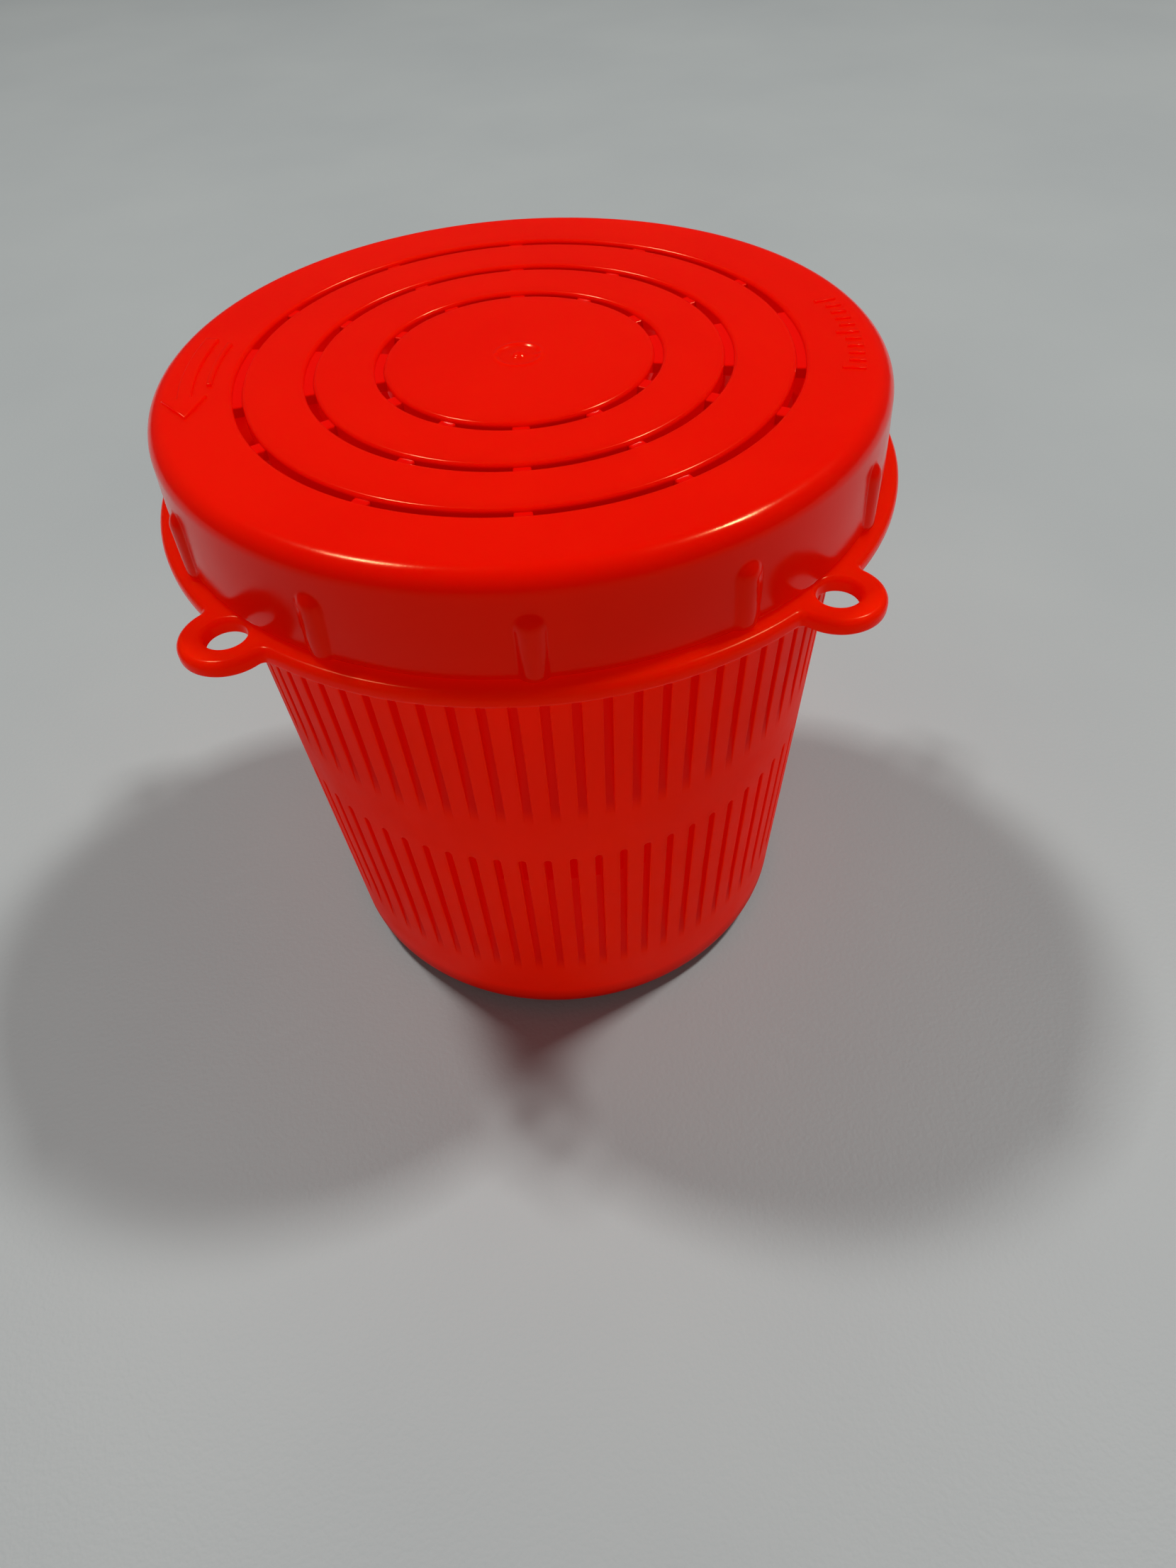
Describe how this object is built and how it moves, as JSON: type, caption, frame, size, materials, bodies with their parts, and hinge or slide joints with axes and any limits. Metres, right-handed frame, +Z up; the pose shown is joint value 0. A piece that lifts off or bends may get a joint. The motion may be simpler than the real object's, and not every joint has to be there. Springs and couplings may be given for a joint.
{
  "type": "vented bait pot",
  "caption": "Tapered round plastic bait pot with staggered wall slots and a hanging flange with eared holes, closed by a grip-ribbed twist lid with slotted rings.",
  "frame": {"origin": "centre of the pot's foot, on the surface that it stands on", "axes": "+Z up along the pot's axis, through the middle of the lid; the hanging ears lie on the diagonals between the X and Y axes; the lid's wide lands lie along X"},
  "size_m": [0.1168, 0.1168, 0.1125],
  "materials": {
    "pot_plastic": "glossy moulded polypropylene, fluorescent red-orange",
    "lid_plastic": "glossy moulded polypropylene, fluorescent red-orange"
  },
  "bodies": {
    "pot": {"pot_body": "pot_plastic"},
    "lid": {"twist_lid": "lid_plastic"}
  },
  "joints": [
    {"name": "lid_lift", "type": "slide", "parent": "pot", "child": "lid", "axis": [0, 0, 1], "range_m": [0, 0.03]}
  ]
}
